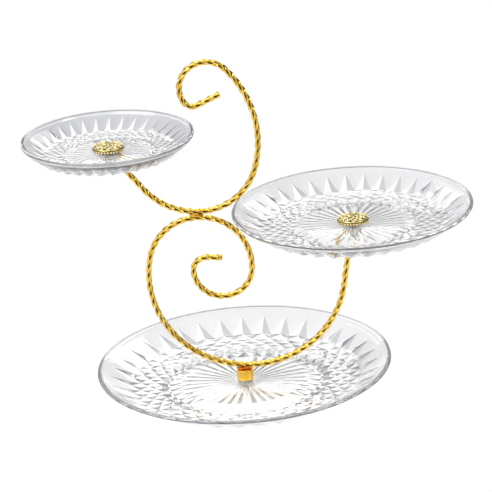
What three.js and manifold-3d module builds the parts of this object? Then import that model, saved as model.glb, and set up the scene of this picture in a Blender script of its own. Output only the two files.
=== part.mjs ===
// Three-tier cake stand: three pressed-glass plates on two scrolls of twisted square bar.
// Millimetres, +Z up. Heights are written from the base plate's rim plane, and the whole
// group is then lifted so that the base plate's foot ring stands on z = 0.
import * as THREE from "three";
import { mergeVertices } from "three/addons/utils/BufferGeometryUtils.js";
import Module from "manifold-3d";

const wasm = await Module();
wasm.setup();

// ---- driving dimensions ----
const GAP = 0.3; // clearance between pieces that are cut to fit each other
const SHIM = 0.15; // clearance between flat faces that lie on each other

const BASE = { x: 0, rimZ: 0, radius: 152.5, depth: 21, foot: 5.5 };
const MIDDLE = { x: 120.5, rimZ: 162.5, radius: 123, depth: 18.5, foot: 2 };
const TOP = { x: -121, rimZ: 254.5, radius: 87.5, depth: 16, foot: 2 };

const GLASS = 4; // thickness of a plate's floor
const WALL = 4.4; // thickness of a plate's sloping wall, measured straight down
const LIP = 3; // height of the rim's outer edge
const BAND = 0.94; // where the clear band at the rim starts, as a share of the radius
const BAND_DROP = 4; // how far the clear band falls towards the wall
const FLOOR = 0.75; // where the floor meets the wall, as a share of the radius
const FOOT = 0.535; // outer radius of the foot ring, as a share of the radius
const FOOT_WIDTH = 5;
const HOLE_RADIUS = 5; // hole in the middle of each plate

const BAR = { side: 5, corner: 0.9, lead: 40, step: 5 }; // twisted bar: one turn per lead
const BAR_SEGMENT_TURN = (2 * Math.PI) / BAR.lead;

const THREAD_RADIUS = 3;
const BORE_RADIUS = THREAD_RADIUS + GAP;
const BOSS = { radius: 8.75, top: -8.9, boreDepth: 9 };
const SEAT = { radius: 8, height: 6 };
const CAP = { radius: 16.5, height: 6.6, edge: 2.6, boreDepth: 5 };
const GASKET = { thickness: 0.8, inner: 4, outer: 8 };
const SCREW = { headRadius: 6, headHeight: 2.6, slotWidth: 1.4, slotDepth: 1.2, length: 14 };
const WASHER = { radius: 9, thickness: 1 };

const PLATE_SEGMENTS = 72;
const ROUND_SEGMENTS = 28;

// A scroll is two runs that leave one anchor point in opposite directions, in the plane y = 0.
// A run is a chain of tangent arcs, { radius, turn } with turn in degrees and positive
// anticlockwise seen from the front, and of straight stretches, { straight }.
const LOWER_SCROLL = {
  anchor: { x: 0, z: -4.6 },
  heading: -6,
  arm: [{ radius: 99, turn: 86 }, { straight: 56 }],
  coil: [
    { radius: 102, turn: -98 },
    { radius: 52, turn: -130 },
    { radius: 56, turn: -43 },
    { radius: 30, turn: -172 },
    { radius: 14, turn: -97 },
    { straight: 15 },
  ],
};
const UPPER_SCROLL = {
  anchor: { x: -35, z: 167.1 },
  heading: 178,
  arm: [{ radius: 72, turn: -51 }, { straight: 27 }, { radius: 22, turn: 30 }],
  coil: [
    { radius: 60, turn: 74 },
    { radius: 109, turn: 60 },
    { radius: 27, turn: 165 },
    { radius: 11, turn: 87 },
    { straight: 25 },
  ],
};
const SCROLL_WELD = { x: -38, z: 163.7, y: 2.9, size: [7, 2.6, 3.2] };
const BOSS_WELD = { radius: 7, height: 3 };
const SEAT_WELD = { radius: 6, height: 5 };

// ---- finishes ----
const glass = new THREE.MeshStandardMaterial({ color: 0xf2f6f6, roughness: 0.03, metalness: 0 });
const gold = new THREE.MeshStandardMaterial({ color: 0xe0a526, roughness: 0.18, metalness: 1 });
const steel = new THREE.MeshStandardMaterial({ color: 0xb9bcc0, roughness: 0.3, metalness: 1 });
const clearRubber = new THREE.MeshStandardMaterial({ color: 0xe6e8e6, roughness: 0.4 });

// ---- small helpers ----
const stand = new THREE.Group();

function addPart(name, geometry, material, x = 0, y = 0, z = 0) {
  const mesh = new THREE.Mesh(geometry, material);
  mesh.name = name;
  mesh.position.set(x, y, z);
  stand.add(mesh);
  return mesh;
}

// A body of revolution about the vertical axis, from a profile of [radius, z] points
// that runs anticlockwise round the material.
function turned(profile, segments = ROUND_SEGMENTS) {
  const points = profile.map(([r, z]) => new THREE.Vector2(r, z));
  return new THREE.LatheGeometry(points, segments).rotateX(Math.PI / 2);
}

function closed(profile) {
  return [...profile, profile[0]];
}

function toSolid(geometry) {
  const bare = geometry.clone();
  bare.deleteAttribute("normal");
  bare.deleteAttribute("uv");
  const merged = mergeVertices(bare, 1e-3);
  const mesh = new wasm.Mesh({
    numProp: 3,
    vertProperties: merged.attributes.position.array,
    triVerts: new Uint32Array(merged.index.array),
  });
  return new wasm.Manifold(mesh);
}

function toGeometry(solid) {
  const { vertProperties, triVerts } = solid.getMesh();
  const geometry = new THREE.BufferGeometry();
  geometry.setAttribute("position", new THREE.BufferAttribute(vertProperties, 3));
  geometry.setIndex(new THREE.BufferAttribute(triVerts, 1));
  return geometry;
}

function cut(geometry, ...tools) {
  return toGeometry(tools.reduce((body, tool) => body.subtract(toSolid(tool)), toSolid(geometry)));
}

// ---- the scrolls' centrelines ----
function runLength(run) {
  return run.reduce((sum, { radius, turn, straight }) => {
    return sum + (straight ?? radius * Math.abs(THREE.MathUtils.degToRad(turn)));
  }, 0);
}

// The point and the heading at a distance along a run.
function alongRun(anchor, headingDegrees, run, distance) {
  let { x, z } = anchor;
  let heading = THREE.MathUtils.degToRad(headingDegrees);
  let left = distance;
  for (const piece of run) {
    const step = Math.min(left, runLength([piece]));
    const turn = piece.radius ? (Math.sign(piece.turn) * step) / piece.radius : 0;
    const chord = piece.radius ? 2 * piece.radius * Math.sin(Math.abs(turn) / 2) : step;
    x += chord * Math.cos(heading + turn / 2);
    z += chord * Math.sin(heading + turn / 2);
    heading += turn;
    left -= step;
  }
  return { x, z, heading };
}

// The centreline from the arm's end, at 0, over the anchor to the inner end of the coil.
function centreline(scroll) {
  const armLength = runLength(scroll.arm);
  const total = armLength + runLength(scroll.coil);
  const at = (s) => {
    if (s >= armLength) {
      return alongRun(scroll.anchor, scroll.heading + 180, scroll.coil, s - armLength);
    }
    const back = alongRun(scroll.anchor, scroll.heading, scroll.arm, armLength - s);
    return { ...back, heading: back.heading + Math.PI };
  };
  return { total, at };
}

// ---- twisted square bar ----
function barSection(side, corner) {
  const half = side / 2;
  const inner = half - corner;
  const shape = new THREE.Shape();
  shape.moveTo(half, -inner);
  shape.lineTo(half, inner);
  shape.lineTo(inner, half);
  shape.lineTo(-inner, half);
  shape.lineTo(-half, inner);
  shape.lineTo(-half, -inner);
  shape.lineTo(-inner, -half);
  shape.lineTo(inner, -half);
  shape.closePath();
  return shape;
}

// A straight bar, twisted and then laid along the scroll's centreline.
function twistedBar(scroll, side = BAR.side) {
  const { total, at } = centreline(scroll);
  const geometry = new THREE.ExtrudeGeometry(barSection(side, BAR.corner), {
    depth: total,
    steps: Math.round(total / BAR.step),
    bevelEnabled: false,
  });
  const position = geometry.attributes.position;
  for (let i = 0; i < position.count; i++) {
    const s = position.getZ(i);
    const twist = s * BAR_SEGMENT_TURN;
    const across = position.getX(i) * Math.cos(twist) - position.getY(i) * Math.sin(twist);
    const along = position.getX(i) * Math.sin(twist) + position.getY(i) * Math.cos(twist);
    const { x, z, heading } = at(s);
    position.setXYZ(i, x + across * Math.sin(heading), along, z - across * Math.cos(heading));
  }
  return geometry;
}

// ---- glass plates ----
function plateProfile({ radius, depth, foot }) {
  const footRadius = FOOT * radius;
  const floorRadius = FLOOR * radius;
  const bandRadius = BAND * radius;
  const under = -depth - GLASS;
  return closed([
    [HOLE_RADIUS, under],
    [footRadius - FOOT_WIDTH, under],
    [footRadius - FOOT_WIDTH + 1, under - foot],
    [footRadius - 1, under - foot],
    [footRadius, under],
    [floorRadius + 2, under],
    [bandRadius, -BAND_DROP - WALL],
    [radius, -LIP],
    [radius, -1],
    [radius - 1, 0],
    [radius - 3.5, 0],
    [bandRadius, -BAND_DROP],
    [floorRadius, -depth],
    [HOLE_RADIUS, -depth],
  ]);
}

function addPlate(name, plate) {
  addPart(name, turned(plateProfile(plate), PLATE_SEGMENTS), glass, plate.x, 0, plate.rimZ);
}

// ---- turned metal and rubber pieces ----
function ring(inner, outer, low, high) {
  return turned(
    closed([
      [inner, low],
      [outer, low],
      [outer, high],
      [inner, high],
    ]),
  );
}

function addGasket(name, x, low) {
  const geometry = ring(GASKET.inner, GASKET.outer, 0, GASKET.thickness);
  addPart(name, geometry, clearRubber, x, 0, low);
}

// Low domed nut with a blind thread underneath.
function capGeometry() {
  const { radius, height, edge, boreDepth } = CAP;
  const dome = [];
  const arcs = 4;
  for (let i = 0; i <= arcs; i++) {
    const angle = (i / arcs) * (Math.PI / 2);
    dome.push([radius * Math.cos(angle), edge + (height - edge) * Math.sin(angle)]);
  }
  dome[arcs][0] = 0;
  return turned([
    [0, boreDepth],
    [BORE_RADIUS, boreDepth],
    [BORE_RADIUS, 0],
    [radius - 1, 0],
    [radius, 1],
    ...dome,
  ]);
}

function studGeometry(length) {
  return turned([
    [0, 0],
    [THREAD_RADIUS, 0],
    [THREAD_RADIUS, length - 1],
    [THREAD_RADIUS - 1, length],
    [0, length],
  ]);
}

// Cap, gaskets, seat and stud that hold a raised plate on its arm.
function addPlateFixing(name, plate, scroll) {
  const floorTop = plate.rimZ - plate.depth;
  const floorUnder = floorTop - GLASS;
  const upperGasket = floorTop + SHIM;
  const capBottom = upperGasket + GASKET.thickness + SHIM;
  const lowerGasket = floorUnder - SHIM - GASKET.thickness;
  const seatTop = lowerGasket - SHIM;
  const seatBottom = seatTop - SEAT.height;
  const studBottom = seatBottom + 1;
  const studTop = capBottom + CAP.boreDepth - GAP;

  addPart(name + "_cap", capGeometry(), gold, plate.x, 0, capBottom);
  addGasket(name + "_upper_gasket", plate.x, upperGasket);
  addGasket(name + "_lower_gasket", plate.x, lowerGasket);
  addPart(name + "_stud", studGeometry(studTop - studBottom), steel, plate.x, 0, studBottom);
  const seat = ring(BORE_RADIUS, SEAT.radius, 0, SEAT.height);
  addPart(name + "_seat", seat, steel, plate.x, 0, seatBottom);

  const armEnd = centreline(scroll).at(0);
  const weld = turned([
    [0, -SEAT_WELD.height],
    [SEAT_WELD.radius - 2, -SEAT_WELD.height],
    [SEAT_WELD.radius, -1],
    [SEAT_WELD.radius, -SHIM],
    [0, -SHIM],
  ]).translate(armEnd.x, 0, seatBottom);
  const bar = twistedBar(scroll, BAR.side + 2 * GAP);
  addPart(name + "_seat_weld", cut(weld, bar), gold);
}

// Threaded boss on the base plate, with its screw, washer and gaskets.
function addBaseFixing() {
  const floorTop = BASE.rimZ - BASE.depth;
  const floorUnder = floorTop - GLASS;
  const upperGasket = floorTop + SHIM;
  const bossBottom = upperGasket + GASKET.thickness + SHIM;
  const bossHeight = BOSS.top - bossBottom;
  const boss = turned([
    [0, BOSS.boreDepth],
    [BORE_RADIUS, BOSS.boreDepth],
    [BORE_RADIUS, 0],
    [BOSS.radius - 0.5, 0],
    [BOSS.radius, 0.5],
    [BOSS.radius, bossHeight - 0.5],
    [BOSS.radius - 0.5, bossHeight],
    [0, bossHeight],
  ]);
  addPart("base_boss", boss, gold, 0, 0, bossBottom);
  addGasket("base_upper_gasket", 0, upperGasket);

  const lowerGasket = floorUnder - SHIM - GASKET.thickness;
  addGasket("base_lower_gasket", 0, lowerGasket);
  const washerBottom = lowerGasket - SHIM - WASHER.thickness;
  const washer = ring(BORE_RADIUS, WASHER.radius, 0, WASHER.thickness);
  addPart("base_washer", washer, steel, 0, 0, washerBottom);

  const head = SCREW.headHeight;
  const screw = turned([
    [0, -head],
    [SCREW.headRadius - 1, -head],
    [SCREW.headRadius, 1 - head],
    [SCREW.headRadius, 0],
    [THREAD_RADIUS, 0],
    [THREAD_RADIUS, SCREW.length - 1],
    [THREAD_RADIUS - 1, SCREW.length],
    [0, SCREW.length],
  ]);
  const slotBars = [0, Math.PI / 2].map((angle) => {
    const slot = new THREE.BoxGeometry(SCREW.headRadius, SCREW.slotWidth, 2 * SCREW.slotDepth);
    return slot.rotateZ(angle).translate(0, 0, -head);
  });
  addPart("base_screw", cut(screw, ...slotBars), steel, 0, 0, washerBottom - SHIM);

  const weld = turned([
    [0, SHIM],
    [BOSS_WELD.radius, SHIM],
    [BOSS_WELD.radius - 0.5, 1.2],
    [BOSS_WELD.radius - 2.5, BOSS_WELD.height],
    [0, BOSS_WELD.height],
  ]).translate(0, 0, BOSS.top);
  const bar = twistedBar(LOWER_SCROLL, BAR.side + 2 * GAP);
  addPart("boss_weld", cut(weld, bar), gold);
}

// Two beads fill the grooves where the scrolls touch, one at the front and one at the back.
function addScrollWelds() {
  const bars = [LOWER_SCROLL, UPPER_SCROLL].map((scroll) => twistedBar(scroll, BAR.side + 2 * GAP));
  for (const [name, sign] of [["front", -1], ["back", 1]]) {
    const bead = new THREE.SphereGeometry(1, 16, 12).scale(...SCROLL_WELD.size);
    bead.translate(SCROLL_WELD.x, sign * SCROLL_WELD.y, SCROLL_WELD.z);
    addPart("scroll_weld_" + name, cut(bead, ...bars), gold);
  }
}

// ---- the stand ----
addPlate("base_plate", BASE);
addPlate("middle_plate", MIDDLE);
addPlate("top_plate", TOP);
addPart("lower_scroll", twistedBar(LOWER_SCROLL), gold);
addPart("upper_scroll", twistedBar(UPPER_SCROLL), gold);
addBaseFixing();
addPlateFixing("middle", MIDDLE, LOWER_SCROLL);
addPlateFixing("top", TOP, UPPER_SCROLL);
addScrollWelds();

// The origin is under the middle of the whole stand's box, on the surface that it stands on.
const boxMiddleX = (MIDDLE.x + MIDDLE.radius + TOP.x - TOP.radius) / 2;
stand.position.set(-boxMiddleX, 0, BASE.depth + GLASS + BASE.foot);

export default stand;
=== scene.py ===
"""A three-tier cake stand: pressed-glass plates on two scrolls of gold twisted bar."""
import math

import bmesh
import bpy
from mathutils import Matrix, Vector, noise


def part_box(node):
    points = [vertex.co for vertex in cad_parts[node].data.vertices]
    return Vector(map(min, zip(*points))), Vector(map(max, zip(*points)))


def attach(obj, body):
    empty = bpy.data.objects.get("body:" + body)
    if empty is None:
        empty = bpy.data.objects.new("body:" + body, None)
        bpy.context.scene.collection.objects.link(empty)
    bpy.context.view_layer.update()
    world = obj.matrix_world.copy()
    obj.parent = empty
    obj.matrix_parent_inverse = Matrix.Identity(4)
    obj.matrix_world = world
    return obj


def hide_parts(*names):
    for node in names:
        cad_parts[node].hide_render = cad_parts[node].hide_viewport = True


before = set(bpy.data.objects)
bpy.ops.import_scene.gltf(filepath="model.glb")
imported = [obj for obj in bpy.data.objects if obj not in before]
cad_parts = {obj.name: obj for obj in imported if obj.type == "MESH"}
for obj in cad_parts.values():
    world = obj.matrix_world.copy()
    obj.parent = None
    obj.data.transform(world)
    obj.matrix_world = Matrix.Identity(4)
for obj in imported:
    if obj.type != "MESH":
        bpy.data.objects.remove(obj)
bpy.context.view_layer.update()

MM = 0.001

# ---- plates: shares of the plate's radius unless they say mm ----
SPOKES = 36  # pressed rays, diamonds and spikes round each plate
RIM_SEGMENTS = 288  # segments of the smooth inside and rim
LARGEST_RADIUS = 152.5 * MM
DEPTHS = {"base_plate": 21 * MM, "middle_plate": 18.5 * MM, "top_plate": 16 * MM}
GLASS = 4 * MM  # thickness of the floor
WALL = 4.4 * MM  # thickness of the wall, measured straight down
LIP = 3 * MM  # height of the rim's outer edge
LIP_INSET = 3.5 * MM  # from the radius to the top of the clear band
BAND = 0.94  # where the clear band starts
BAND_DROP = 4 * MM
FLOOR = 0.75  # where the floor meets the wall
FLOOR_BEND = 0.05  # half the width of the bend between them
HOLE = 5 * MM
HOLE_EDGE = 0.03  # width of the plain ring round the hole
RAYS = [0.13, 0.2, 0.3, 0.4]
FOOT = [0.508, 0.53]
DIAMONDS = [0.575, 0.62, 0.665, 0.72, 0.785]
SPIKE_TIPS = {"base_plate": 0.93, "middle_plate": 0.95, "top_plate": 0.955}
# Depths of the cuts on the largest plate, and how much deeper each row is than the last one.
RAY_CUT, RAY_CUT_GROWTH = 0.5 * MM, 0.3 * MM
FOOT_CUT = 1.6 * MM
DIAMOND_CUT, DIAMOND_CUT_GROWTH = 1.1 * MM, 0.3 * MM
LEAST_CUT = 0.45  # share of a cut's depth that doesn't shrink with the plate
INSIDE_START = 4.6 * MM  # from the radius to the outermost ring of the smooth inside
INSIDE_END = 0.6 * MM  # from the hole to the innermost one
INSIDE_STEPS = 30
UPPER_WALL = [0.965, 0.98]  # plain rings between the spikes' tips and the lip
# The lip's rounded edge: inset from the radius in mm, height in mm, and painted shade of
# the glass up to there, which paints a dark outline round the rim with a paler line on top.
LIP_PROFILE = [
    (0.9, -3.0, 0.6),
    (0.25, -2.6, 1.0),
    (0, -2.0, 1.0),
    (0, -1.2, 1.0),
    (0.35, -0.4, 0.7),
    (1.0, 0, 0.2),
    (2.4, 0, 0),
    (3.2, -0.25, 0.9),
    (3.8, -0.6, 1.0),
]
# Painted shade of the plain glass, and how much more shade a facet is painted with as its flank
# leans.
FLOOR_PAINTED_SHADE = (0.08, 2.0)
WALL_PAINTED_SHADE = {"base_plate": (0.6, 5.0), "middle_plate": (0.65, 5.0), "top_plate": (0.95, 8.0)}

# ---- twisted bar ----
BAR_SIDE = 5 * MM
BAR_CORNER = 0.8 * MM
BAR_LEAD = 40 * MM
BAR_HOLLOW = 0.25 * MM
BAR_STEP = 1 * MM
BAR_END = 0.86  # the cut ends are this much narrower, as a share of the side
# A painted dark reflection shows where a face of the bar points to the front or back: the least
# share of its normal that does so, and the share over which the painted reflection comes in.
PAINTED_REFLECTION_FACING, PAINTED_REFLECTION_FADE = 0.82, 0.12

# ---- fittings ----
BORE = 3.3 * MM
BOSS_BORE_DEPTH = 9 * MM
CAP_BORE_DEPTH = 5 * MM
GASKET_INNER = 4 * MM
WELD_VOXEL = 0.35 * MM

# Runs of tangent arcs (radius in mm, turn in degrees) and straights (None, mm), both from
# one anchor, which is given in mm from the middle of the base plate's rim.
LOWER_SCROLL = {
    "anchor": (0, -4.6),
    "heading": -6,
    "arm": [(99, 86), (None, 56)],
    "coil": [(102, -98), (52, -130), (56, -43), (30, -172), (14, -97), (None, 15)],
}
UPPER_SCROLL = {
    "anchor": (-35, 167.1),
    "heading": 178,
    "arm": [(72, -51), (None, 27), (22, 30)],
    "coil": [(60, 74), (109, 60), (27, 165), (11, 87), (None, 25)],
}

base_low, base_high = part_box("base_plate")
BASE_AXIS = Vector(((base_low.x + base_high.x) / 2, (base_low.y + base_high.y) / 2, base_high.z))


# ---- node helpers ----
def new_material(name):
    material = bpy.data.materials.new(name)
    material.use_nodes = True
    nodes = material.node_tree.nodes
    return material, nodes, material.node_tree.links, nodes["Principled BSDF"]


def object_noise(nodes, links, scale, detail=3.0, stretch=(1, 1, 1)):
    place = nodes.new("ShaderNodeTexCoord")
    mapping = nodes.new("ShaderNodeMapping")
    mapping.inputs["Scale"].default_value = stretch
    texture = nodes.new("ShaderNodeTexNoise")
    texture.inputs["Scale"].default_value = scale
    texture.inputs["Detail"].default_value = detail
    links.new(place.outputs["Object"], mapping.inputs["Vector"])
    links.new(mapping.outputs["Vector"], texture.inputs["Vector"])
    return texture.outputs["Fac"]


def ramp(nodes, links, source, stops):
    node = nodes.new("ShaderNodeValToRGB")
    node.color_ramp.elements[0].position = stops[0][0]
    node.color_ramp.elements[0].color = stops[0][1]
    node.color_ramp.elements[1].position = stops[-1][0]
    node.color_ramp.elements[1].color = stops[-1][1]
    for position, colour in stops[1:-1]:
        node.color_ramp.elements.new(position).color = colour
    links.new(source, node.inputs["Fac"])
    return node.outputs["Color"]


def remap(nodes, links, source, low, high):
    node = nodes.new("ShaderNodeMapRange")
    node.inputs["To Min"].default_value = low
    node.inputs["To Max"].default_value = high
    links.new(source, node.inputs["Value"])
    return node.outputs["Result"]


def bump(nodes, links, shader, height, distance, strength=1.0):
    node = nodes.new("ShaderNodeBump")
    node.inputs["Distance"].default_value = distance
    node.inputs["Strength"].default_value = strength
    links.new(height, node.inputs["Height"])
    links.new(node.outputs["Normal"], shader.inputs["Normal"])


# ---- materials ----
def glass_material():
    """Clear pressed glass, a little wavy, that lets lamp light through. Its colour carries painted
    shade: darker on the facets that lean and along the rim."""
    material, nodes, links, shader = new_material("pressed_glass")
    painted_facet_shade = nodes.new("ShaderNodeAttribute")
    painted_facet_shade.attribute_name = "painted_facet_shade"
    # Painted shade: white for plain glass down to grey on the most leaning facets.
    painted_shade_stops = [(0.0, (1, 1, 1, 1)), (0.4, (0.86, 0.865, 0.87, 1)), (1.0, (0.36, 0.37, 0.4, 1))]
    links.new(ramp(nodes, links, painted_facet_shade.outputs["Fac"], painted_shade_stops), shader.inputs["Base Color"])
    shader.inputs["Transmission Weight"].default_value = 0.92
    shader.inputs["IOR"].default_value = 1.5
    wave = object_noise(nodes, links, 60, 2)
    links.new(remap(nodes, links, wave, 0.0, 0.05), shader.inputs["Roughness"])
    bump(nodes, links, shader, wave, 0.25 * MM, 0.6)
    path = nodes.new("ShaderNodeLightPath")
    clear = nodes.new("ShaderNodeBsdfTransparent")
    clear.inputs["Color"].default_value = (0.985, 0.985, 0.985, 1)
    mix = nodes.new("ShaderNodeMixShader")
    links.new(path.outputs["Is Shadow Ray"], mix.inputs["Fac"])
    links.new(shader.outputs["BSDF"], mix.inputs[1])
    links.new(clear.outputs["BSDF"], mix.inputs[2])
    links.new(mix.outputs["Shader"], nodes["Material Output"].inputs["Surface"])
    return material


def gold_material(name, deep, pale, roughness):
    """Polished plating over drawn steel: colour and polish vary, with fine pits."""
    material, nodes, links, shader = new_material(name)
    shader.inputs["Metallic"].default_value = 1.0
    broad = object_noise(nodes, links, 180, 4)
    links.new(ramp(nodes, links, broad, [(0.3, deep), (0.7, pale)]), shader.inputs["Base Color"])
    fine = object_noise(nodes, links, 900, 5)
    links.new(remap(nodes, links, fine, *roughness), shader.inputs["Roughness"])
    bump(nodes, links, shader, fine, 0.12 * MM, 0.35)
    return material


def bar_gold_material():
    """Gold over twisted steel bar, with a painted dark reflection in the middle of each face that
    points to the front or back.
    """
    material, nodes, links, shader = new_material("bar_gold")
    shader.inputs["Metallic"].default_value = 1.0
    broad = object_noise(nodes, links, 180, 4)
    shades = [(0.3, (0.76, 0.43, 0.025, 1)), (0.7, (1.0, 0.74, 0.18, 1))]
    gold = ramp(nodes, links, broad, shades)
    dent_and_painted_reflection = nodes.new("ShaderNodeAttribute")
    dent_and_painted_reflection.attribute_name = "dent_and_painted_reflection"
    # Noise that breaks up the painted reflection dashes.
    reflection_breakup = object_noise(nodes, links, 420, 3)
    depth = nodes.new("ShaderNodeMath")
    depth.operation = "MULTIPLY"
    links.new(dent_and_painted_reflection.outputs["Fac"], depth.inputs[0])
    links.new(remap(nodes, links, reflection_breakup, 0.75, 1.2), depth.inputs[1])
    # Painted dark reflection: dark brown where the mask is high.
    stops = [(0.45, (0, 0, 0, 1)), (0.7, (1, 1, 1, 1))]
    dark_reflection_mask = ramp(nodes, links, depth.outputs["Value"], stops)
    mix = nodes.new("ShaderNodeMix")
    mix.data_type = "RGBA"
    links.new(dark_reflection_mask, mix.inputs["Factor"])
    links.new(gold, mix.inputs["A"])
    mix.inputs["B"].default_value = (0.045, 0.01, 0.001, 1)
    links.new(mix.outputs["Result"], shader.inputs["Base Color"])
    fine = object_noise(nodes, links, 900, 5)
    links.new(remap(nodes, links, fine, 0.12, 0.28), shader.inputs["Roughness"])
    bump(nodes, links, shader, fine, 0.1 * MM, 0.3)
    return material


def relief_gold_material():
    """Cast gold with painted shade in the hollows of its relief and a painted highlight on its
    tops.
    """
    material, nodes, links, shader = new_material("cast_gold")
    shader.inputs["Metallic"].default_value = 1.0
    relief_and_painted_light = nodes.new("ShaderNodeAttribute")
    relief_and_painted_light.attribute_name = "relief_and_painted_light"
    # Painted light by relief height: near-black shade in the hollows up to a pale highlight on the
    # tops.
    stops = [
        (0.0, (0.06, 0.035, 0.006, 1)),
        (0.3, (0.5, 0.35, 0.06, 1)),
        (0.6, (1.0, 0.87, 0.42, 1)),
        (0.9, (1.0, 0.96, 0.76, 1)),
    ]
    links.new(ramp(nodes, links, relief_and_painted_light.outputs["Fac"], stops), shader.inputs["Base Color"])
    links.new(remap(nodes, links, relief_and_painted_light.outputs["Fac"], 0.45, 0.14), shader.inputs["Roughness"])
    bump(nodes, links, shader, object_noise(nodes, links, 1200, 4), 0.08 * MM, 0.5)
    return material


def steel_material():
    material, nodes, links, shader = new_material("screw_steel")
    shader.inputs["Metallic"].default_value = 1.0
    turned_marks = object_noise(nodes, links, 700, 4, (1, 1, 6))
    stops = [(0.3, (0.55, 0.56, 0.58, 1)), (0.7, (0.75, 0.76, 0.78, 1))]
    links.new(ramp(nodes, links, turned_marks, stops), shader.inputs["Base Color"])
    links.new(remap(nodes, links, turned_marks, 0.2, 0.4), shader.inputs["Roughness"])
    bump(nodes, links, shader, turned_marks, 0.05 * MM, 0.4)
    return material


def clear_rubber_material():
    material, nodes, links, shader = new_material("clear_rubber")
    shader.inputs["Base Color"].default_value = (0.95, 0.96, 0.95, 1)
    shader.inputs["Transmission Weight"].default_value = 0.85
    shader.inputs["IOR"].default_value = 1.45
    cloud = object_noise(nodes, links, 500, 3)
    links.new(remap(nodes, links, cloud, 0.15, 0.35), shader.inputs["Roughness"])
    bump(nodes, links, shader, cloud, 0.05 * MM, 0.4)
    return material


def weld_material(name, dark, middle, pale):
    """Brazing metal: dark where it was hottest, gold where the plating covers it."""
    material, nodes, links, shader = new_material(name)
    shader.inputs["Metallic"].default_value = 1.0
    heat = object_noise(nodes, links, 260, 3)
    stops = [(0.35, dark), (0.55, middle), (0.75, pale)]
    links.new(ramp(nodes, links, heat, stops), shader.inputs["Base Color"])
    links.new(remap(nodes, links, heat, 0.42, 0.2), shader.inputs["Roughness"])
    bump(nodes, links, shader, object_noise(nodes, links, 800, 4), 0.15 * MM, 0.6)
    return material


def floor_material():
    material, nodes, links, shader = new_material("white_floor")
    paper = object_noise(nodes, links, 30, 2)
    stops = [(0.0, (0.93, 0.93, 0.93, 1)), (1.0, (0.95, 0.95, 0.95, 1))]
    links.new(ramp(nodes, links, paper, stops), shader.inputs["Base Color"])
    shader.inputs["Roughness"].default_value = 0.9
    shader.inputs["Specular IOR Level"].default_value = 0.1
    return material


GLASS_LOOK = glass_material()
BAR_GOLD = bar_gold_material()
SMOOTH_GOLD = gold_material(
    "smooth_gold", deep=(0.92, 0.52, 0.04, 1), pale=(1.0, 0.68, 0.13, 1), roughness=(0.14, 0.26)
)
RELIEF_GOLD = relief_gold_material()
STEEL = steel_material()
CLEAR_RUBBER = clear_rubber_material()
COPPER_WELD = weld_material(
    "copper_weld", (0.4, 0.06, 0.01, 1), (0.8, 0.24, 0.03, 1), (0.95, 0.6, 0.15, 1)
)
GOLD_WELD = weld_material(
    "gold_weld", (0.2, 0.08, 0.01, 1), (0.85, 0.5, 0.06, 1), (0.97, 0.72, 0.2, 1)
)


# ---- mesh helpers ----
def to_object(name, mesh_builder, material, smooth=True):
    mesh = bpy.data.meshes.new(name)
    mesh_builder.normal_update()
    mesh_builder.to_mesh(mesh)
    mesh_builder.free()
    piece = bpy.data.objects.new(name, mesh)
    bpy.context.collection.objects.link(piece)
    mesh.materials.append(material)
    if smooth:
        for face in mesh.polygons:
            face.use_smooth = True
    return piece


def stand_for(piece, node, body):
    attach(piece, body)
    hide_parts(node)


def bridge(builder, lower, upper, smooth=True):
    """Joins two closed rings whose sizes are the same, or where the second is a multiple."""
    count = len(lower)
    share = len(upper) // count
    faces = []
    for i in range(count):
        a, b = lower[i], lower[(i + 1) % count]
        arc = [upper[(i * share + j) % len(upper)] for j in range(share + 1)]
        if share == 1:
            faces.append(builder.faces.new((a, b, arc[1], arc[0])))
            continue
        half = share // 2
        for j in range(half):
            faces.append(builder.faces.new((a, arc[j + 1], arc[j])))
        faces.append(builder.faces.new((a, b, arc[half])))
        for j in range(half, share):
            faces.append(builder.faces.new((b, arc[j + 1], arc[j])))
    for face in faces:
        face.smooth = smooth
    return faces


def ring_of(builder, centre, radius, z, count):
    verts = []
    for i in range(count):
        angle = 2 * math.pi * i / count
        place = Vector((radius * math.cos(angle), radius * math.sin(angle), z))
        verts.append(builder.verts.new(centre + place))
    return verts


def rounded(profile, radius, steps=4):
    """An open profile of (r, z) points with its inner corners rounded."""
    points = [Vector(p) for p in profile]
    out = [points[0]]
    for before, corner, after in zip(points, points[1:], points[2:]):
        reach = min(radius, (before - corner).length * 0.45, (after - corner).length * 0.45)
        start = corner + (before - corner).normalized() * reach
        end = corner + (after - corner).normalized() * reach
        for i in range(steps + 1):
            t = i / steps
            out.append(start * (1 - t) ** 2 + corner * 2 * t * (1 - t) + end * t ** 2)
    return out + [points[-1]]


def lathe(name, centre, profile, material, edge, segments=72):
    """A turned piece. The profile starts and ends on the axis, or is closed round a bore."""
    builder = bmesh.new()
    rings = []
    bored = profile[0][0] > 0
    outline = rounded(list(profile) + ([profile[0]] if bored else []), edge)
    for r, z in outline[:-1] if bored else outline:
        if r < 1e-6:
            rings.append([builder.verts.new(centre + Vector((0, 0, z)))])
        else:
            rings.append(ring_of(builder, centre, r, z, segments))
    pairs = list(zip(rings, rings[1:])) + ([(rings[-1], rings[0])] if bored else [])
    for lower, upper in pairs:
        if len(lower) == 1:
            for i in range(segments):
                builder.faces.new((lower[0], upper[(i + 1) % segments], upper[i]))
        elif len(upper) == 1:
            for i in range(segments):
                builder.faces.new((lower[i], lower[(i + 1) % segments], upper[0]))
        else:
            bridge(builder, lower, upper)
    bmesh.ops.recalc_face_normals(builder, faces=builder.faces)
    return to_object(name, builder, material)


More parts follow.
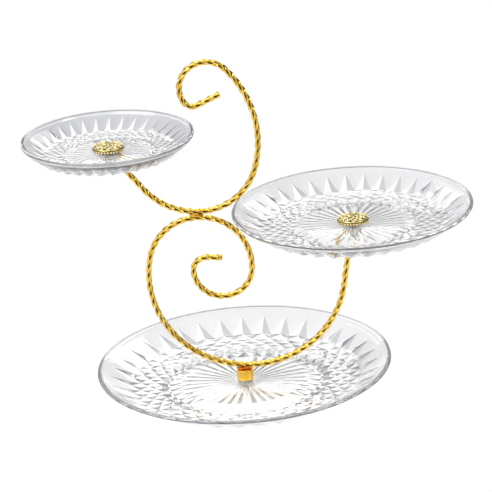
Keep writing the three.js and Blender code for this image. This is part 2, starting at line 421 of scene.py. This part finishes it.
# ---- glass plates ----
class Plate:
    """A plate's measures, from its CAD node's box and the constants above."""

    def __init__(self, node):
        low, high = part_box(node)
        self.radius = (high.x - low.x) / 2
        self.centre = Vector(((low.x + high.x) / 2, (low.y + high.y) / 2, high.z))
        self.depth = DEPTHS[node]
        self.wall_painted_shade = WALL_PAINTED_SHADE[node]
        self.spike_tip = SPIKE_TIPS[node]
        self.foot = high.z - low.z - self.depth - GLASS

    def inside(self, r):
        """Height of the smooth inside surface, below the rim."""
        floor_r, band_r = FLOOR * self.radius, BAND * self.radius
        lip_r = self.radius - LIP_INSET
        slope = (self.depth - BAND_DROP) / (band_r - floor_r)
        blend = FLOOR_BEND * self.radius
        if r <= floor_r - blend:
            return -self.depth
        if r < floor_r + blend:
            t = (r - floor_r + blend) / (2 * blend)
            return -self.depth + slope * blend * t * t
        if r <= band_r:
            return -self.depth + slope * (r - floor_r)
        t = (r - band_r) / (lip_r - band_r)
        return -BAND_DROP + BAND_DROP * t

    def outside(self, r):
        """Height of the underside before the pattern is pressed into it."""
        floor_r, band_r = FLOOR * self.radius + 2 * MM, BAND * self.radius
        if r <= floor_r:
            return -self.depth - GLASS
        if r <= band_r:
            t = (r - floor_r) / (band_r - floor_r)
            return (-self.depth - GLASS) * (1 - t) + (-BAND_DROP - WALL) * t
        t = (r - band_r) / (self.radius - band_r)
        return (-BAND_DROP - WALL) * (1 - t) - LIP * t

    def lean(self, place):
        """Outward part of the plain underside's normal at a place."""
        r = (place - self.centre).xy.length
        rise = self.outside(r + MM) - self.outside(r - MM)
        return rise / math.hypot(rise, 2 * MM)


def pattern_ring(builder, plate, share, amount, raised, drop=0):
    """A ring with two points for each spoke. raised says which of them stand proud:
    0 for the even ones, 1 for the odd ones, None for all."""
    r = share * plate.radius
    verts = []
    for i in range(2 * SPOKES):
        angle = math.pi * i / SPOKES
        sunk = 0 if raised is None or i % 2 == raised else amount
        place = Vector((r * math.cos(angle), r * math.sin(angle), plate.outside(r) + sunk - drop))
        verts.append(builder.verts.new(plate.centre + place))
    return verts


def splits_forward(i, inner_raised, outer_raised):
    """Whether the cell after spoke point i is split from its first inner point to its second
    outer one, so that cuts meet in valleys and end in sharp tips on a plain ring."""
    if inner_raised is None:
        return i % 2 != outer_raised
    if outer_raised is None:
        return i % 2 == inner_raised
    return i % 2 != inner_raised


def facet_painted_shade(face, plate, facet_shade_setting, wall_lean):
    """Painted shade of a facet, 0 to 1, from how far it leans round and away from the axis."""
    face.normal_update()
    normal = face.normal if face.normal.z < 0 else -face.normal
    outward = face.calc_center_median() - plate.centre
    outward.z = 0
    outward.normalize()
    # Painted shade from the facet's lean round the plate and away from the axis.
    round_lean = normal.dot(Vector((-outward.y, outward.x, 0)))
    radial_lean = normal.dot(outward) - wall_lean
    plain_painted_shade, gain = facet_shade_setting
    return min(1.0, max(0.0, plain_painted_shade + gain * (0.8 * round_lean + 0.6 * radial_lean)))


def facet(builder, plate, inner, outer, facet_shade_setting=FLOOR_PAINTED_SHADE):
    """Flat triangles between two pattern rings, with painted shade by how they lean."""
    painted_shade_layer = builder.faces.layers.float["painted_facet_shade"]
    (inner_verts, inner_raised), (outer_verts, outer_raised) = inner, outer
    count = len(inner_verts)
    for i in range(count):
        j = (i + 1) % count
        a, b, c, d = inner_verts[i], inner_verts[j], outer_verts[i], outer_verts[j]
        if splits_forward(i, inner_raised, outer_raised):
            corners = ((a, c, d), (a, d, b))
        else:
            corners = ((a, c, b), (b, c, d))
        wall_lean = plate.lean((a.co + d.co) / 2)
        for three in corners:
            face = builder.faces.new(three)
            face.smooth = False
            # Paint the facet's shade from how it leans.
            face[painted_shade_layer] = facet_painted_shade(face, plate, facet_shade_setting, wall_lean)


def plate_underside(builder, plate):
    """Rays round the middle, the foot's beads, rows of diamonds, and long spikes up the wall."""
    scale = LEAST_CUT + (1 - LEAST_CUT) * plate.radius / LARGEST_RADIUS
    hole = ring_of(builder, plate.centre, HOLE, plate.outside(0), 2 * SPOKES)
    rings = [(pattern_ring(builder, plate, HOLE / plate.radius + HOLE_EDGE, 0, None), None)]
    bridge(builder, hole, rings[0][0])
    for i, share in enumerate(RAYS):
        amount = (RAY_CUT + RAY_CUT_GROWTH * i) * scale
        rings.append((pattern_ring(builder, plate, share, amount, 0), 0))
    for i, share in enumerate(FOOT):
        raised = (i + 1) % 2
        beads = pattern_ring(builder, plate, share, FOOT_CUT * scale, raised, plate.foot)
        rings.append((beads, raised))
    for i, share in enumerate(DIAMONDS):
        raised = (i + 1) % 2
        amount = (DIAMOND_CUT + DIAMOND_CUT_GROWTH * i) * scale
        rings.append((pattern_ring(builder, plate, share, amount, raised), raised))
    for inner, outer in zip(rings, rings[1:]):
        facet(builder, plate, inner, outer)
    tips = pattern_ring(builder, plate, plate.spike_tip, 0, None)
    # The spikes up the wall take the wall's stronger painted shade.
    facet(builder, plate, rings[-1], (tips, None), plate.wall_painted_shade)
    return hole, tips


def plate_inside(plate):
    """Points (radius, height) from the lip down the smooth inside to the hole, closer
    together near the lip."""
    start, end = plate.radius - INSIDE_START, HOLE + INSIDE_END
    points = []
    for i in range(INSIDE_STEPS + 1):
        radius = start + (end - start) * (i / INSIDE_STEPS) ** 1.3
        points.append((radius, plate.inside(radius)))
    return points + [(HOLE, plate.inside(HOLE) - 0.5 * MM)]


def plate_outline(plate):
    """Rings (radius, height, painted shade) from the spikes' tips over the lip and down to the
    hole.
    """
    outline = []
    # The upper wall takes the wall's plain painted shade.
    for share in UPPER_WALL:
        radius = share * plate.radius
        outline.append((radius, plate.outside(radius), plate.wall_painted_shade[0]))
    for inset, z, rim_painted_shade in LIP_PROFILE:
        outline.append((plate.radius - inset * MM, z * MM, rim_painted_shade))
    for radius, z in plate_inside(plate):
        outline.append((radius, z, 0))
    return outline


def line_hole(builder, hole, ring):
    """The hole's wall, from its coarse ring underneath to the fine one inside."""
    share = len(ring) // len(hole)
    for i in range(len(hole)):
        a, b = hole[i], hole[(i + 1) % len(hole)]
        arc = [ring[(i * share + j) % len(ring)] for j in range(share + 1)]
        builder.faces.new([a] + arc + [b])


def pressed_plate(node, body):
    plate = Plate(node)
    builder = bmesh.new()
    # Face layer that holds the glass's painted shade.
    painted_shade_layer = builder.faces.layers.float.new("painted_facet_shade")
    hole, last = plate_underside(builder, plate)
    for radius, z, rim_painted_shade in plate_outline(plate):
        ring = ring_of(builder, plate.centre, radius, z, RIM_SEGMENTS)
        for face in bridge(builder, last, ring):
            # Painted shade of each band, darkest along the lip's outline.
            face[painted_shade_layer] = rim_painted_shade
        last = ring
    line_hole(builder, hole, last)
    bmesh.ops.recalc_face_normals(builder, faces=builder.faces)
    piece = to_object(node + "_glass", builder, GLASS_LOOK, smooth=False)
    stand_for(piece, node, body)


# ---- twisted bar ----
def run_length(run):
    """Length of a run in mm."""
    return sum(
        size if radius is None else radius * abs(math.radians(size)) for radius, size in run
    )


def along(anchor, heading_degrees, run, distance):
    """Point and heading at a distance in mm along a run."""
    x, z = anchor
    heading = math.radians(heading_degrees)
    left = distance
    for radius, size in run:
        step = min(left, run_length([(radius, size)]))
        turn = 0 if radius is None else math.copysign(step / radius, size)
        chord = step if radius is None else 2 * radius * math.sin(abs(turn) / 2)
        x += chord * math.cos(heading + turn / 2)
        z += chord * math.sin(heading + turn / 2)
        heading += turn
        left -= step
    return x, z, heading


def scroll_point(scroll, s):
    """Point and heading at s mm from the arm's end towards the inner end of the coil."""
    arm = run_length(scroll["arm"])
    if s >= arm:
        return along(scroll["anchor"], scroll["heading"] + 180, scroll["coil"], s - arm)
    x, z, heading = along(scroll["anchor"], scroll["heading"], scroll["arm"], arm - s)
    return x, z, heading + math.pi


def bar_section():
    """A square with rounded corners and slightly hollow faces, as (point, dent) pairs; the dent
    also weighs the painted reflection.
    """
    half = BAR_SIDE / 2 - BAR_CORNER
    points = []
    for quarter in range(4):
        turn = Matrix.Rotation(quarter * math.pi / 2, 2)
        for i in range(4):
            angle = (i / 3) * math.pi / 2
            corner = Vector((half, half)) + BAR_CORNER * Vector((math.cos(angle), math.sin(angle)))
            points.append((turn @ corner, 0.0))
        for t in (-0.6, -0.25, 0.25, 0.6):
            dent_and_painted_reflection = 1 - t * t
            points.append((turn @ Vector((-half * t, BAR_SIDE / 2 - BAR_HOLLOW * dent_and_painted_reflection)), dent_and_painted_reflection))
    return points


def bar_ring(builder, layer, scroll, s, section, size):
    """The bar's section at s mm along a scroll, turned by the twist and set on its path."""
    x, z, heading = scroll_point(scroll, s)
    centre = BASE_AXIS + Vector((x * MM, 0, z * MM))
    across = Vector((math.sin(heading), 0, -math.cos(heading)))
    twist = 2 * math.pi * s * MM / BAR_LEAD
    verts = []
    for p, dent_and_painted_reflection in section:
        facing = abs((Matrix.Rotation(twist, 2) @ p).normalized().y)
        u = (p.x * math.cos(twist) - p.y * math.sin(twist)) * size
        v = (p.x * math.sin(twist) + p.y * math.cos(twist)) * size
        vert = builder.verts.new(centre + across * u + Vector((0, v, 0)))
        # Painted dark reflection, strongest in the middle of a face that points to the front or
        # back.
        vert[layer] = dent_and_painted_reflection * min(1.0, max(0.0, (facing - PAINTED_REFLECTION_FACING) / PAINTED_REFLECTION_FADE))
        verts.append(vert)
    return verts


def twisted_bar(node, scroll):
    builder = bmesh.new()
    layer = builder.verts.layers.float.new("dent_and_painted_reflection")
    section = bar_section()
    total = run_length(scroll["arm"]) + run_length(scroll["coil"])
    steps = round(total * MM / BAR_STEP)
    rings = []
    for i in range(steps + 1):
        size = BAR_END if i in (0, steps) else 1.0
        rings.append(bar_ring(builder, layer, scroll, total * i / steps, section, size))
    for lower, upper in zip(rings, rings[1:]):
        bridge(builder, lower, upper)
    builder.faces.new(rings[0])
    builder.faces.new(rings[-1])
    bmesh.ops.recalc_face_normals(builder, faces=builder.faces)
    piece = to_object(node + "_bar", builder, BAR_GOLD)
    stand_for(piece, node, "frame")


# ---- rosette caps ----
CAP_RINGS = 72
CAP_SEGMENTS = 288
CAP_EDGE = 2.6 * MM
CAP_RELIEF = 1.2 * MM
CAP_FACE = 0.965  # share of the radius that the relief covers
# The grooved side: share of the radius, height in mm, and how light the colour is painted there,
# from painted shade to painted highlight.
CAP_SIDE = [
    (0.99, 2.2, 0.8),
    (1.0, 1.9, 0.9),
    (1.0, 0.9, 0.7),
    (0.97, 0.5, 0.25),
    (0.94, 0.0, 0.2),
]
CAP_GROOVES = 32
CAP_GROOVE_DEPTH = 0.04


def leaf(angle, share, lobes, turn, low, high):
    """A row of curling leaves between two shares of the radius: 0 outside it, and up to 1 on
    a leaf."""
    if not low < share < high:
        return 0.0
    t = (share - low) / (high - low)
    wave = math.cos(lobes * angle + turn * math.sin(math.pi * t) + lobes * 0.35 * t)
    body = max(0.0, wave) ** 0.6
    vein = 1 - 0.55 * math.exp(-((wave - 1) / 0.06) ** 2)
    return body * vein * math.sin(math.pi * t) ** 0.5


def rosette_relief(angle, share):
    """Raised flower, leaves and beads, from 0 in the ground to 1 on top."""
    flower = leaf(angle, share, 6, 1.2, 0.1, 0.42)
    inner_leaves = leaf(angle + 0.3, share, 8, -2.0, 0.36, 0.66)
    outer_leaves = leaf(angle, share, 11, 2.4, 0.6, 0.93)
    curls = 0.0
    if 0.45 < share < 0.92:
        curls = 0.7 * max(0.0, math.cos(16 * angle - 14 * share)) ** 3
    bead = math.exp(-((share / 0.09) ** 2) * 1.4)
    ring = 0.8 * math.exp(-(((share - 0.955) / 0.022) ** 2))
    return min(1.0, max(flower, inner_leaves, outer_leaves, curls, bead, ring))


def rosette_face(builder, layer, centre, radius, height):
    """Rings of the domed top from the middle outwards, with the relief raised on them."""
    rise = height - CAP_RELIEF - CAP_EDGE
    rings = []
    for i in range(1, CAP_RINGS + 1):
        share = i / CAP_RINGS
        dome = CAP_EDGE + rise * math.sqrt(max(0.0, 1 - share ** 2.6))
        r = radius * (CAP_FACE * share)
        verts = []
        for j in range(CAP_SEGMENTS):
            angle = 2 * math.pi * j / CAP_SEGMENTS
            relief_and_painted_light = rosette_relief(angle, share)
            z = dome + CAP_RELIEF * relief_and_painted_light * (1 - 0.3 * share)
            place = Vector((r * math.cos(angle), r * math.sin(angle), z))
            vert = builder.verts.new(centre + place)
            # The relief height also sets the painted shade and highlight.
            vert[layer] = relief_and_painted_light
            verts.append(vert)
        rings.append(verts)
    return rings


def rosette_side(builder, layer, centre, radius):
    """Rings of the grooved side from its top down."""
    rings = []
    for share, z, relief_and_painted_light in CAP_SIDE:
        verts = ring_of(builder, centre, radius * share, z * MM, CAP_SEGMENTS)
        for j, vert in enumerate(verts):
            groove = 0.5 - 0.5 * math.cos(CAP_GROOVES * 2 * math.pi * j / CAP_SEGMENTS)
            axis = Vector((centre.x, centre.y, vert.co.z))
            vert.co = axis.lerp(vert.co, 1 - CAP_GROOVE_DEPTH * groove)
            # Painted shade in the grooves of the side.
            vert[layer] = relief_and_painted_light * (1 - 0.8 * groove)
        rings.append(verts)
    return rings


def rosette_cap(node, body):
    low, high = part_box(node)
    centre = Vector(((low.x + high.x) / 2, (low.y + high.y) / 2, low.z))
    radius = (high.x - low.x) / 2
    height = high.z - low.z
    builder = bmesh.new()
    layer = builder.verts.layers.float.new("relief_and_painted_light")
    top = builder.verts.new(centre + Vector((0, 0, height)))
    top[layer] = 1.0
    rings = rosette_face(builder, layer, centre, radius, height)
    rings += rosette_side(builder, layer, centre, radius)
    for z in (0, CAP_BORE_DEPTH):
        rings.append(ring_of(builder, centre, BORE, z, CAP_SEGMENTS))
    for i in range(CAP_SEGMENTS):
        builder.faces.new((top, rings[0][i], rings[0][(i + 1) % CAP_SEGMENTS]))
    for lower, upper in zip(rings, rings[1:]):
        bridge(builder, lower, upper)
    builder.faces.new(rings[-1])
    bmesh.ops.recalc_face_normals(builder, faces=builder.faces)
    piece = to_object(node + "_rosette", builder, RELIEF_GOLD)
    stand_for(piece, node, body)


# ---- welds ----
def weld_bead(name, node, blobs, material):
    """Overlapping blobs of metal melted into one bead."""
    builder = bmesh.new()
    for centre, size in blobs:
        matrix = Matrix.Translation(centre) @ Matrix.Diagonal((*size, 1))
        bmesh.ops.create_icosphere(builder, subdivisions=3, radius=1, matrix=matrix)
    for vert in builder.verts:
        vert.co += vert.normal * noise.noise(vert.co * 900) * 0.25 * MM
    piece = to_object(name, builder, material)
    remesh = piece.modifiers.new("melt", "REMESH")
    remesh.mode = "VOXEL"
    remesh.voxel_size = WELD_VOXEL
    remesh.use_smooth_shade = True
    smooth = piece.modifiers.new("settle", "SMOOTH")
    smooth.iterations = 4
    stand_for(piece, node, "frame")


def boss_weld():
    """Nodules along both sides of the bar, over a flat pool of metal on the boss."""
    low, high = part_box("boss_weld")
    centre = (low + high) / 2
    reach = (high.x - low.x) / 2
    blobs = []
    for i in range(7):
        x = centre.x + reach * (-0.8 + 1.6 * i / 6)
        for side in (-1, 1):
            size = (1.5 + 0.35 * math.sin(2.1 * i + side)) * MM
            place = Vector((x, side * 2.6 * MM, low.z + 0.9 * MM))
            blobs.append((place, (size, 1.5 * MM, 1.3 * MM)))
        blobs.append((Vector((x, 0, low.z + 0.5 * MM)), (1.6 * MM, 2.6 * MM, 0.8 * MM)))
    weld_bead("boss_weld_bead", "boss_weld", blobs, COPPER_WELD)


def scroll_weld(side_name, side):
    """A row of nodules in the groove where the scrolls meet, largest in the middle."""
    node = "scroll_weld_" + side_name
    low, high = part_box(node)
    centre = (low + high) / 2
    reach = (high.x - low.x) / 2
    blobs = []
    for i in range(5):
        x = centre.x + reach * (-0.75 + 1.5 * i / 4)
        size = (2.4 - 0.35 * abs(i - 2)) * MM
        lift = 0.3 * MM * math.sin(2.3 * i)
        place = Vector((x, side * 2.1 * MM, centre.z + lift))
        blobs.append((place, (size, 1.5 * MM, size * 0.9)))
    weld_bead(node + "_bead", node, blobs, GOLD_WELD)


# ---- turned fittings ----
def turned_fitting(node, body, material, profile, edge):
    low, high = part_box(node)
    centre = Vector(((low.x + high.x) / 2, (low.y + high.y) / 2, low.z))
    piece = lathe(node + "_turned", centre, profile, material, edge)
    stand_for(piece, node, body)


def ring_profile(inner, outer, height):
    return [(inner, 0), (outer, 0), (outer, height), (inner, height)]


def size_of(node):
    """Radius and height of a round upright node."""
    low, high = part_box(node)
    return (high.x - low.x) / 2, high.z - low.z


def add_boss():
    radius, height = size_of("base_boss")
    bottom = [(0, BOSS_BORE_DEPTH), (BORE, BOSS_BORE_DEPTH), (BORE, 0), (radius, 0)]
    profile = bottom + [(radius, height), (0, height)]
    turned_fitting("base_boss", "frame", SMOOTH_GOLD, profile, 0.6 * MM)


def add_ring(node, body, material, inner, edge):
    outer, height = size_of(node)
    turned_fitting(node, body, material, ring_profile(inner, outer, height), edge)


def add_fittings():
    add_boss()
    for node in ("middle_seat", "top_seat"):
        add_ring(node, "frame", STEEL, BORE, 0.5 * MM)
    add_ring("base_washer", "base_bolt", STEEL, BORE, 0.2 * MM)
    bodies = {"base": "base", "middle": "middle_tray", "top": "top_tray"}
    for prefix, body in bodies.items():
        for place in ("upper", "lower"):
            node = prefix + "_" + place + "_gasket"
            add_ring(node, body, CLEAR_RUBBER, GASKET_INNER, 0.2 * MM)


def keep_cad_nodes():
    """CAD solids that stay as they are and only take a finish."""
    finishes = {
        "base_screw": STEEL,
        "middle_stud": STEEL,
        "top_stud": STEEL,
        "middle_seat_weld": GOLD_WELD,
        "top_seat_weld": GOLD_WELD,
    }
    for node, material in finishes.items():
        for material_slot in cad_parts[node].material_slots:
            material_slot.material = material


# ---- studio ----
FLOOR_HALF = 8.0
FLOOR_DROP = 0.0002  # the floor lies this far under the stand, so that they don't touch
LIGHT_TARGET = (0, 0, 0.15)
# The sky by height, from 0 at the horizon and below it to 1 straight up, and how it dims
# towards the right, where 0 is the middle and the whole left.
SKY_HEIGHTS = [
    (0.0, (1.0, 1.0, 1.0, 1)),
    (0.12, (0.95, 0.95, 0.95, 1)),
    (0.22, (0.45, 0.45, 0.46, 1)),
    (0.5, (0.33, 0.33, 0.34, 1)),
    (0.8, (0.8, 0.8, 0.8, 1)),
    (1.0, (0.65, 0.65, 0.65, 1)),
]
SKY_SIDES = [(0.3, (1, 1, 1, 1)), (0.55, (0.06, 0.06, 0.06, 1))]
CAMERA_PITCH = math.radians(20.49)
CAMERA_ROLL = math.radians(4.03)
CAMERA_LENS = 188
CAMERA_PLACE = Vector((0.0102, -2.456, 1.044))  # from the middle of the base plate's rim


def area_light(name, place, size, power):
    light = bpy.data.lights.new(name, "AREA")
    light.shape = "RECTANGLE"
    light.size, light.size_y = size
    light.energy = power
    lamp = bpy.data.objects.new(name, light)
    lamp.location = place
    towards = Vector(LIGHT_TARGET) - Vector(place)
    lamp.rotation_euler = towards.to_track_quat("-Z", "Y").to_euler()
    bpy.context.collection.objects.link(lamp)


def add_floor():
    builder = bmesh.new()
    half = FLOOR_HALF
    corners = [(-half, -half), (half, -half), (half, half), (-half, half)]
    builder.faces.new([builder.verts.new((x, y, -FLOOR_DROP)) for x, y in corners])
    to_object("floor", builder, floor_material())


def add_lights():
    area_light("key", (-1.5, -1.2, 2.0), (2.2, 2.2), 38)
    area_light("fill", (1.8, -1.0, 1.4), (0.8, 1.4), 16)
    area_light("back", (0.2, 2.2, 1.9), (2.8, 1.4), 30)


def add_sky():
    """A pale studio all round, brightest low down and dimmer on the right."""
    world = bpy.data.worlds.new("studio")
    bpy.context.scene.world = world
    world.use_nodes = True
    nodes, links = world.node_tree.nodes, world.node_tree.links
    place = nodes.new("ShaderNodeTexCoord")
    split = nodes.new("ShaderNodeSeparateXYZ")
    links.new(place.outputs["Generated"], split.inputs["Vector"])
    mix = nodes.new("ShaderNodeMix")
    mix.data_type = "RGBA"
    mix.blend_type = "MULTIPLY"
    mix.inputs["Factor"].default_value = 1.0
    links.new(ramp(nodes, links, split.outputs["Z"], SKY_HEIGHTS), mix.inputs["A"])
    links.new(ramp(nodes, links, split.outputs["X"], SKY_SIDES), mix.inputs["B"])
    links.new(mix.outputs["Result"], nodes["Background"].inputs["Color"])
    nodes["Background"].inputs["Strength"].default_value = 1.0


def add_camera():
    """A long lens, pitched down, with a slight roll."""
    ahead = Vector((0, math.cos(CAMERA_PITCH), -math.sin(CAMERA_PITCH)))
    level = Vector((1, 0, 0))
    upright = level.cross(ahead)
    right = level * math.cos(CAMERA_ROLL) - upright * math.sin(CAMERA_ROLL)
    up = level * math.sin(CAMERA_ROLL) + upright * math.cos(CAMERA_ROLL)
    data = bpy.data.cameras.new("camera")
    data.sensor_width = 36
    data.lens = CAMERA_LENS
    camera = bpy.data.objects.new("camera", data)
    turn = Matrix((right, up, -ahead)).transposed().to_4x4()
    camera.matrix_world = Matrix.Translation(BASE_AXIS + CAMERA_PLACE) @ turn
    bpy.context.collection.objects.link(camera)
    bpy.context.scene.camera = camera


# ---- the stand ----
add_camera()
add_floor()
add_lights()
add_sky()
pressed_plate("base_plate", "base")
pressed_plate("middle_plate", "middle_tray")
pressed_plate("top_plate", "top_tray")
twisted_bar("lower_scroll", LOWER_SCROLL)
twisted_bar("upper_scroll", UPPER_SCROLL)
rosette_cap("middle_cap", "middle_nut")
rosette_cap("top_cap", "top_nut")
boss_weld()
scroll_weld("front", -1)
scroll_weld("back", 1)
add_fittings()
keep_cad_nodes()
bpy.context.scene.view_settings.view_transform = "Standard"
